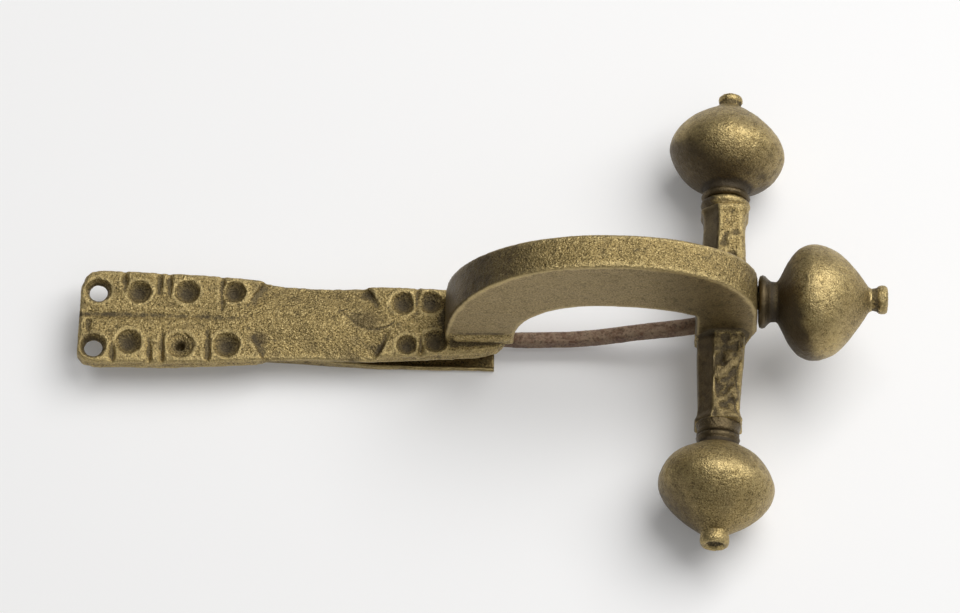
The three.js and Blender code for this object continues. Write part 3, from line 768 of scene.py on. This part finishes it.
def casting_masks(places, normals, sizes):
    """Where the casting keeps its rough skin, and how deep it is pitted."""
    top = (sizes.foot_underside + sizes.foot_thickness) / MM
    x, y, z = places.T
    on_bow = (x > HEAD_FACE - 35.2) & (z > top + 2.3) & (np.abs(y) < 3.2)
    on_arm = np.abs(y) > 3.0
    on_arm &= x > BAR.x - 3.6
    uneven = 0.1 * field(places, 1.4, 2, 2.0)
    side = smoothstep(0.55, 0.8, np.abs(normals[:, 1]) + uneven) * on_bow
    steep = smoothstep(-0.5, -0.8, normals[:, 0] + uneven) * on_bow * smoothstep(18, 12, z)
    facet = smoothstep(-0.3, -0.55, normals[:, 0] + uneven) * on_arm
    under = smoothstep(-0.3, -0.7, normals[:, 2])
    rough = 1 - np.clip(np.maximum.reduce([side, steep * 0.9, facet, under * 0.6]), 0, 1)
    arm_top = on_arm * smoothstep(0.1, 0.5, normals[:, 2]) * smoothstep(-0.45, -0.2, normals[:, 0])
    near_arm = arm_top * (y < 0)
    pits = 0.012 + 0.16 * arm_top + 0.02 * rough * (1 - arm_top)
    erosion = 0.1 * arm_top + 0.34 * near_arm * smoothstep(3.2, 4.5, -y) * smoothstep(13.0, 11.5, -y)
    slope_shade = smoothstep(-0.15, -0.8, normals[:, 0]) * on_bow
    waist = smoothstep(-27, -24, x) * smoothstep(-11.5, -14, x) * smoothstep(0.6, 3.2, np.abs(y - 0.1))
    patches = np.clip(0.5 + 0.8 * field(places, 2.6, 3, 4.0), 0, 1)
    # Painted shade: the arm facets and the bow's slopes that face the foot, turned from the light, are darkened toward
    # the tarnish colour. The other terms darken the bow's sides near the head, the near arm's top, patches on the waist
    # and tip, the groove and a few spots.
    tarnish_and_shade = 0.7 * facet + 0.75 * slope_shade + 0.25 * side * smoothstep(18, 22, x) + 0.55 * near_arm
    tarnish_and_shade += 0.45 * patches * waist + 0.5 * patches * smoothstep(-40, -44.5, x) + 0.12 * patches
    tarnish_and_shade += 0.55 * smoothstep(0.55, 0.0, np.abs(y - 0.3)) * smoothstep(-28, -42, x) * (z < top + 0.5)
    for spot_x, spot_y, reach in ((-12.6, -0.2, 2.6), (-12.6, 3.1, 1.1), (-11.3, -3.3, 1.2), (-24.8, -2.4, 1.4)):
        away = np.hypot((x - spot_x) / reach, (y - spot_y) / (0.6 * reach))
        tarnish_and_shade += 0.6 * smoothstep(1.3, 0.3, away + 0.4 * (patches - 0.5)) * (z < top + 0.5)
    on_foot = (x < -26.9) | (x > -11.0) & (x < HEAD_FACE - 35.0) | (np.abs(y) > 3.0) & (x > -5) & (x < 4)
    sunk = smoothstep(0.12, 0.85, top - z) * on_foot * (z > top - 1.35) * (np.abs(normals[:, 2]) > 0.15)
    sunk *= 1 - smoothstep(3.7, 4.1, np.abs(y)) * (x > -26)
    sunk *= 1 - smoothstep(4.9, 5.2, np.abs(y))
    return rough, pits, erosion, np.clip(tarnish_and_shade, 0, 1), sunk


class BROOCH_OT_bow_and_foot(bpy.types.Operator):
    """Build the casting: foot plate, bow, head and crossbar in one"""

    bl_idname = "brooch.bow_and_foot"
    bl_label = "Bow and Foot"

    def execute(self, context):
        sizes = context.scene.brooch_sizes
        foot = join_blanks([foot_blank(sizes), burrs(sizes)])
        foot.modifiers.new("skin", "REMESH").mode = "VOXEL"
        foot.modifiers["skin"].voxel_size = 0.16
        apply_modifiers(foot)
        carve(foot, foot_cutters(sizes))
        body = join_blanks([foot, bow_blank(sizes), plinth_blank(sizes), arm_blank(1), arm_blank(-1)])
        skin = body.modifiers.new("skin", "REMESH")
        skin.mode = "VOXEL"
        skin.voxel_size = sizes.mesh_step / MM
        apply_modifiers(body)
        carve(body, head_cutters())
        ease = body.modifiers.new("ease", "SMOOTH")
        ease.factor = 0.5
        ease.iterations = 2
        apply_modifiers(body)
        bm = bmesh.new()
        bm.from_mesh(body.data)
        remove_object(body)
        material = old_bronze("cast_bronze", 3000.0, 0.00016, 0.25, 0.75)
        piece = finish_piece("bow_and_foot", bm, material, "brooch", ["bow_and_foot_casting"])
        places, normals, _ = mesh_arrays(piece.data)
        places = places / MM
        rough, pits, erosion, tarnish_and_shade, sunk = casting_masks(places, normals, sizes)
        top = (sizes.foot_underside + sizes.foot_thickness) / MM
        on_foot = (places[:, 2] > top - 1.2) & (places[:, 2] < top + 0.3) & (normals[:, 2] > 0.3)
        lowered = places - normals * (crack_depth(places) * on_foot)[:, None]
        piece.data.vertices.foreach_set("co", (lowered * MM).ravel())
        piece.data.update()
        store(piece.data, "sunk", sunk)
        weather(piece, rough, sizes.grain / MM, pits, 1.0, tarnish_and_shade, erosion)
        return {"FINISHED"}


# ------------------------------------------------------- knobs, rivets, rings

HEAD_FLANK = [(2.2, -4.3), (2.55, -3.95), (4.4, -3.0), (5.35, -2.32), (5.97, -1.66), (6.33, -0.9), (6.45, 0),
              (6.28, 0.95), (5.68, 2.32), (4.5, 3.65), (2.9, 4.95), (1.95, 5.6), (1.45, 5.95), (1.25, 6.3)]
SIDE_FLANK = [(2.3, -4.9), (3.5, -4.2), (4.85, -3.3), (5.75, -2.2), (6.3, -1.0), (6.45, 0), (6.08, 1.2),
              (5.25, 2.4), (4.0, 3.6), (2.7, 4.55), (1.85, 5.15), (1.4, 5.5)]


def knob_profile(flank, disc, neck):
    """Half-section of an onion knob: bevelled disc, hollow neck and swelling body."""
    foot = [(0.0, -6.2), (disc - 0.5, -6.2), (disc - 0.12, -6.08), (disc, -5.8), (disc - 0.1, -5.5),
            (disc - 0.42, -5.2), (neck + 0.1, -4.85)]
    body = [(point[0], point[1]) for point in curve_points([(r, t, 0) for r, t in flank], 72)]
    return foot + [(r, t) for r, t in body if t > -4.75] + [(0.0, flank[-1][1])]


def build_knob(name, flank, disc, neck, centre, axis, skew, lift, seat_patina_and_shade, seed):
    """One onion knob, its widest ring a little out of true, with the pits and dents of age.

    seat_patina_and_shade is how much darker it is toward its seat between knob and arm: brown patina there, with
    painted shade that grows on the side turned from the light."""
    sizes = bpy.context.scene.brooch_sizes
    tail = flank[-1][1]
    bm = bmesh.new()
    turn(bm, knob_profile(flank, disc, neck), centre, axis, sizes.knob_steps)
    side = Vector((axis.y, -axis.x, 0)) * math.copysign(1.0, axis.y)
    for vert in bm.verts:
        along = (vert.co - centre).dot(axis)
        off = (vert.co - centre).dot(side)
        body = smoothstep(-4.6, -2.5, along) * smoothstep(tail, tail - 2.5, along)
        vert.co += axis * (off * skew * body) + lift * smoothstep(2.0, tail, along)
    material = old_bronze("knob_bronze", 3300.0, 0.00011, 0.35, 0.6)
    piece = finish_piece(name + "_worn", bm, material, "brooch", [name])
    places, normals, _ = mesh_arrays(piece.data)
    places = places / MM
    along = (places - np.array(centre)) @ np.array(axis)
    rough = np.clip(0.8 + 0.4 * field(places, 2.6, 2, seed), 0.3, 1)
    # Painted shade: the knob darkens toward the tarnish colour on its side turned from the light, low, left and near,
    # and toward its seat, where patina and painted shade meet; the disc at the seat is browned all round.
    painted_shade = smoothstep(-0.15, 0.75, -0.6 * normals[:, 0] - 0.45 * normals[:, 2] - 0.4 * normals[:, 1])
    inner = smoothstep(1.2, -3.6, along) * (0.5 + 0.5 * painted_shade)
    brown = smoothstep(-4.3, -4.9, along) + seat_patina_and_shade * inner + 0.75 * painted_shade
    brown = brown + 0.12 * field(places, 3.0, 2, seed)
    weather(piece, rough, 0.7 * sizes.grain / MM, 0.014, seed, np.clip(brown, 0, 1))
    return piece


class BROOCH_OT_knobs(bpy.types.Operator):
    """Build the head knob and the two side knobs"""

    bl_idname = "brooch.knobs"
    bl_label = "Onion Knobs"

    def execute(self, context):
        flat = Vector((0, 0, 0))
        reach = ALONG_BAR * KNOB_REACH
        build_knob("head_knob", HEAD_FLANK, 2.95, 2.15, HEAD_CENTRE, Vector((1, 0, 0)), 0.0, HEAD_LEAN, 0.8, 11.0)
        build_knob("near_arm_knob", SIDE_FLANK, 2.45, 2.2, BAR - reach, -ALONG_BAR, 0.05, flat, 0.15, 23.0)
        build_knob("far_arm_knob", SIDE_FLANK, 2.75, 2.4, BAR + reach, ALONG_BAR, -0.06, flat, 1.0, 31.0)
        return {"FINISHED"}


def build_rivet(name, start, seat, button, centre, axis, lift, seed):
    """A rivet whose outer end is a turned button; button is its profile from the seat outwards."""
    bm = bmesh.new()
    outline = [(0, start), (0.95, start), (0.95, seat - 0.4)] + [(r, seat + t) for r, t in button]
    turn(bm, outline, centre, axis, 64)
    for vert in bm.verts:
        vert.co += lift * smoothstep(seat - 1.0, seat, (vert.co - centre).dot(axis))
    material = old_bronze("finial_bronze", 2600.0, 0.00013, 0.4, 0.8)
    piece = finish_piece(name + "_worn", bm, material, "brooch", [name])
    weather(piece, 1.0, 0.04, 0.05, seed, 0.2)
    return piece


class BROOCH_OT_rivets(bpy.types.Operator):
    """Build the three rivets whose turned ends show as finials"""

    bl_idname = "brooch.rivets"
    bl_label = "Rivets and Finials"

    def execute(self, context):
        flat = Vector((0, 0, 0))
        reach = ALONG_BAR * KNOB_REACH
        turned = [(1.22, -0.4), (1.24, 0.3), (1.3, 0.7), (1.52, 0.95), (1.6, 1.2), (1.58, 1.6), (1.42, 1.85),
                  (1.1, 1.95), (0.6, 1.98), (0, 1.98)]
        small = [(1.16, -0.4), (1.14, 0.2), (1.2, 0.5), (1.34, 0.7), (1.38, 0.95), (1.3, 1.25), (1.0, 1.44),
                 (0.5, 1.5), (0, 1.5)]
        broken = [(1.5, -0.5), (1.52, 0.0), (1.6, 0.4), (1.64, 0.9), (1.55, 1.3), (1.3, 1.46), (1.05, 1.35),
                  (0.8, 1.05), (0.45, 0.85), (0, 0.9)]
        build_rivet("head_knob_rivet", -10.8, 6.12, turned, HEAD_CENTRE, Vector((1, 0, 0)), HEAD_LEAN, 41.0)
        build_rivet("near_arm_rivet", -10.1, 5.47, broken, BAR - reach, -ALONG_BAR, flat, 47.0)
        build_rivet("far_arm_rivet", -10.1, 5.47, small, BAR + reach, ALONG_BAR, Vector((0.2, 0, 0)), 53.0)
        return {"FINISHED"}


class BROOCH_OT_rings(bpy.types.Operator):
    """Build the ring mouldings between the arms and the side knobs"""

    bl_idname = "brooch.rings"
    bl_label = "Arm Rings"

    def execute(self, context):
        along = ALONG_BAR
        material = old_bronze("finial_bronze", 2600.0, 0.00013, 0.4, 0.8)
        worn = [(0, 13.0), (2.5, 13.0), (2.5, 13.2), (2.38, 13.5), (2.34, 13.9), (2.4, 14.3), (0, 14.3)]
        beaded = [(0, 13.0), (2.3, 13.0), (2.35, 13.2), (2.62, 13.4), (2.78, 13.7), (2.7, 14.0), (2.4, 14.25),
                  (2.3, 14.3), (0, 14.3)]
        for name, axis, outline, brown, seed in (("near_arm_collar", -along, worn, 0.9, 61.0),
                                                 ("far_arm_collar", along, beaded, 0.1, 67.0)):
            bm = bmesh.new()
            turn(bm, outline, BAR, axis, 96)
            piece = finish_piece(name + "_worn", bm, material, "brooch", [name])
            _, normals, _ = mesh_arrays(piece.data)
            # The faces turned toward the foot, away from the light, get painted shade in the tarnish colour; brown is
            # the collar's own tarnish.
            weather(piece, 1.0, 0.03, 0.05, seed, np.maximum(brown, smoothstep(-0.25, -0.6, normals[:, 0])))
        return {"FINISHED"}


# ------------------------------------------------------------- catch and pin

def catch_section(x, sizes):
    """The bent sheet's middle line at one place along the catch, as (y, z)."""
    half = sizes.sheet / MM / 2
    top = sizes.foot_underside / MM - 0.12 - half
    u = (x - CATCH[0].x) / (CATCH[1].x - CATCH[0].x)
    near = -3.25 - 0.55 * min(u * 2.2, 1.0)
    lip = float(np.interp(u, [0, 0.16, 0.34, 0.68, 1.0], [2.75, 2.6, 1.75, 0.95, 0.55]))
    dip = 0.12 * math.sin(u * 9.0) + 0.06 * math.sin(u * 23.0)
    lip = max(lip + dip * 0.6, half + 0.18)
    knots = [(near - 0.02, lip), (near + 0.02, half + 0.35 * (lip - half)), (near + 0.35, half + 0.06),
             (near + 1.2, half), (0.0, half), (2.5, half), (3.05, half + 0.2), (3.25, half + 0.7), (3.25, top - 0.7),
             (3.05, top - 0.2), (2.5, top), (1.5, top), (0.45, top)]
    return [Vector((0, y, z)) for y, z in knots]


class BROOCH_OT_catch(bpy.types.Operator):
    """Build the bent sheet that catches the pin"""

    bl_idname = "brooch.catch"
    bl_label = "Sheet Catch"

    def execute(self, context):
        sizes = context.scene.brooch_sizes
        half = sizes.sheet / MM / 2
        bm = bmesh.new()
        rings = []
        stations = 72
        for i in range(stations + 1):
            x = CATCH[0].x + (CATCH[1].x - CATCH[0].x) * i / stations
            line = curve_points(catch_section(x, sizes), 60)
            outer = []
            inner = []
            for k, point in enumerate(line):
                ahead = (line[min(k + 1, len(line) - 1)] - line[max(k - 1, 0)]).normalized()
                aside = Vector((0, -ahead.z, ahead.y)) * half
                outer.append(point - aside + Vector((x, 0, 0)))
                inner.append(point + aside + Vector((x, 0, 0)))
            rings.append(outer + inner[::-1])
        loft(bm, rings)
        material = old_bronze("sheet_bronze", 2200.0, 0.0001, 0.5, 0.55)
        piece = finish_piece("catch", bm, material, "brooch", ["catch_sheath"])
        weather(piece, 0.75, 0.02, 0.03, 71.0)
        return {"FINISHED"}


PIN_COURSE = [(BAR.x - 1.3, 0.0, 5.75), (BAR.x - 3.5, -0.1, 4.6), (BAR.x - 9.0, -0.3, 3.4),
              (BAR.x - 14.6, -0.55, 2.15), (BAR.x - 20.1, -0.72, 1.85), (BAR.x - 25.0, -0.75, 1.9),
              (BAR.x - 33.0, -0.6, 2.1), (BAR.x - 40.6, -0.4, 2.55)]


class BROOCH_OT_pin(bpy.types.Operator):
    """Build the iron pin with its eye, and finish the axle it turns on"""

    bl_idname = "brooch.pin"
    bl_label = "Pin and Axle"

    def execute(self, context):
        sizes = context.scene.brooch_sizes
        half = sizes.pin_width / MM / 2
        bm = bmesh.new()
        course = curve_points(PIN_COURSE, 150)
        section = [(-1, -0.72), (-0.72, -1), (0, -1.04), (0.72, -1), (1, -0.72), (1.04, -0.1), (1.0, 0.2), (0.84, 0.52),
                   (0.72, 0.5), (0.62, 0.84), (0.3, 1.0), (-0.3, 1.04), (-0.72, 1), (-1, 0.72), (-1.04, 0)]
        rings = []
        for i, point in enumerate(course):
            ahead = (course[min(i + 1, 150)] - course[max(i - 1, 0)]).normalized()
            aside = ahead.cross(Vector((0, 0, 1))).normalized()
            upward = aside.cross(ahead)
            u = i / 150
            width = half * (1 - 0.06 * smoothstep(0.0, 0.5, u)) * (1 - 0.72 * smoothstep(0.6, 1.02, u))
            rings.append([point + aside * (a * width) + upward * (b * width) for a, b in section])
        loft(bm, rings)
        shank = helper_object("shank", bm)
        bm = bmesh.new()
        along = ALONG_BAR
        turn(bm, [(0, -0.9), (1.8, -0.9), (1.95, -0.75), (1.95, 0.75), (1.8, 0.9), (0, 0.9)], BAR, along, 64)
        eye = helper_object("eye", bm)
        joined = join_blanks([shank, eye])
        skin = joined.modifiers.new("skin", "REMESH")
        skin.mode = "VOXEL"
        skin.voxel_size = 0.11
        apply_modifiers(joined)
        bm = bmesh.new()
        turn(bm, [(0, -3), (1.08, -3), (1.08, 3), (0, 3)], BAR, along, 48)
        carve(joined, helper_object("eye_bore", bm))
        bm = bmesh.new()
        bm.from_mesh(joined.data)
        remove_object(joined)
        piece = finish_piece("rusty_pin", bm, rusty_iron(), "pin", ["pin"])
        weather(piece, 1.0, 0.02, 0.03, 83.0, 0.0, 0.0, 0.02)
        axle = frame["nodes"]["hinge_axle"]
        axle.data.materials.clear()
        axle.data.materials.append(rusty_iron())
        return {"FINISHED"}


# --------------------------------------------------------------------- stage

class BROOCH_OT_stage(bpy.types.Operator):
    """Lay the pale ground, light it softly and set the camera"""

    bl_idname = "brooch.stage"
    bl_label = "Ground, Light and Camera"

    def execute(self, context):
        scene = context.scene
        scene.view_settings.view_transform = "Standard"
        ground_mesh = bpy.data.meshes.new("ground")
        bm = bmesh.new()
        bmesh.ops.create_grid(bm, x_segments=2, y_segments=2, size=1.5)
        bm.to_mesh(ground_mesh)
        bm.free()
        ground = bpy.data.objects.new("ground", ground_mesh)
        scene.collection.objects.link(ground)
        ground_mesh.materials.append(table_top())
        self.light(scene, "key", Vector((0.45, 0.27, 0.85)), 0.62, 0.54, 3.75)
        self.sky(scene)
        self.camera(scene)
        return {"FINISHED"}

    def light(self, scene, name, toward, distance, size, power):
        """A square soft lamp at a distance from the brooch, aimed at it."""
        data = bpy.data.lights.new(name, "AREA")
        data.shape = "SQUARE"
        data.size = size
        data.energy = power
        lamp = bpy.data.objects.new(name, data)
        lamp.location = toward.normalized() * distance
        lamp.rotation_euler = toward.to_track_quat("Z", "Y").to_euler()
        scene.collection.objects.link(lamp)

    def sky(self, scene):
        """A dim room that is lighter overhead."""
        world = bpy.data.worlds.new("room")
        scene.world = world
        world.use_nodes = True
        tree = world.node_tree
        tree.nodes.clear()
        direction = add_node(tree, "ShaderNodeTexCoord").outputs["Generated"]
        parts = add_node(tree, "ShaderNodeSeparateXYZ", Vector=direction)
        overhead = spread(tree, parts.outputs["Z"], 0.15, 1.0, 0.08, 0.58)
        front = spread(tree, parts.outputs["Y"], -0.8, 0.6, 1.1, 1.0)
        aside = spread(tree, parts.outputs["X"], -0.8, 0.5, 0.1, 1.15)
        strength = maths(tree, "MULTIPLY", maths(tree, "MULTIPLY", overhead, front), aside)
        seen = tree.nodes.new("ShaderNodeLightPath").outputs["Is Camera Ray"]
        strength = add_node(tree, "ShaderNodeMix", {"data_type": "FLOAT"}, Factor=seen, A=strength, B=0.9)
        light = add_node(tree, "ShaderNodeBackground", Color=(1, 1, 1, 1), Strength=strength.outputs["Result"])
        output = tree.nodes.new("ShaderNodeOutputWorld")
        tree.links.new(light.outputs["Background"], output.inputs["Surface"])

    def camera(self, scene):
        """A long lens looking down on the brooch from the near side."""
        azimuth = math.radians(-0.77)
        elevation = math.radians(65.2)
        distance = 0.85
        ahead = Vector((math.sin(azimuth) * math.cos(elevation), math.cos(azimuth) * math.cos(elevation),
                        -math.sin(elevation)))
        right = Vector((math.cos(azimuth), -math.sin(azimuth), 0))
        up = right.cross(ahead)
        aim = Vector((0, 0, 0.008)) - right * 0.00006 + up * 0.00036
        data = bpy.data.cameras.new("camera")
        data.sensor_width = 36.0
        data.lens = 287.4
        data.clip_end = 10.0
        camera = bpy.data.objects.new("camera", data)
        camera.matrix_world = Matrix.Translation(aim - ahead * distance) @ Matrix(
            (right, up, -ahead)).transposed().to_4x4()
        scene.collection.objects.link(camera)
        scene.camera = camera


class BROOCH_PT_panel(bpy.types.Panel):
    """Lists the sizes, the colours and the building steps"""

    bl_idname = "BROOCH_PT_panel"
    bl_label = "Crossbow Brooch"
    bl_space_type = "VIEW_3D"
    bl_region_type = "UI"
    bl_category = "Brooch"

    def draw(self, context):
        layout = self.layout
        for group in (context.scene.brooch_sizes, context.scene.brooch_colours):
            for key in group.bl_rna.properties.keys():
                if key not in {"rna_type", "name"}:
                    layout.prop(group, key)
        for operator in OPERATORS:
            layout.operator(operator.bl_idname)


OPERATORS = (BROOCH_OT_stage, BROOCH_OT_bow_and_foot, BROOCH_OT_knobs, BROOCH_OT_rivets, BROOCH_OT_rings,
             BROOCH_OT_catch, BROOCH_OT_pin)
CLASSES = (BroochSizes, BroochColours, *OPERATORS, BROOCH_PT_panel)


def register():
    for entry in CLASSES:
        bpy.utils.register_class(entry)
    bpy.types.Scene.brooch_sizes = PointerProperty(type=BroochSizes)
    bpy.types.Scene.brooch_colours = PointerProperty(type=BroochColours)


def unregister():
    del bpy.types.Scene.brooch_colours
    del bpy.types.Scene.brooch_sizes
    for entry in reversed(CLASSES):
        bpy.utils.unregister_class(entry)


def main():
    """Builds the brooch and its stage."""
    register()
    bpy.ops.brooch.stage()
    bpy.ops.brooch.bow_and_foot()
    bpy.ops.brooch.knobs()
    bpy.ops.brooch.rivets()
    bpy.ops.brooch.rings()
    bpy.ops.brooch.catch()
    bpy.ops.brooch.pin()


if __name__ == "__main__":
    main()
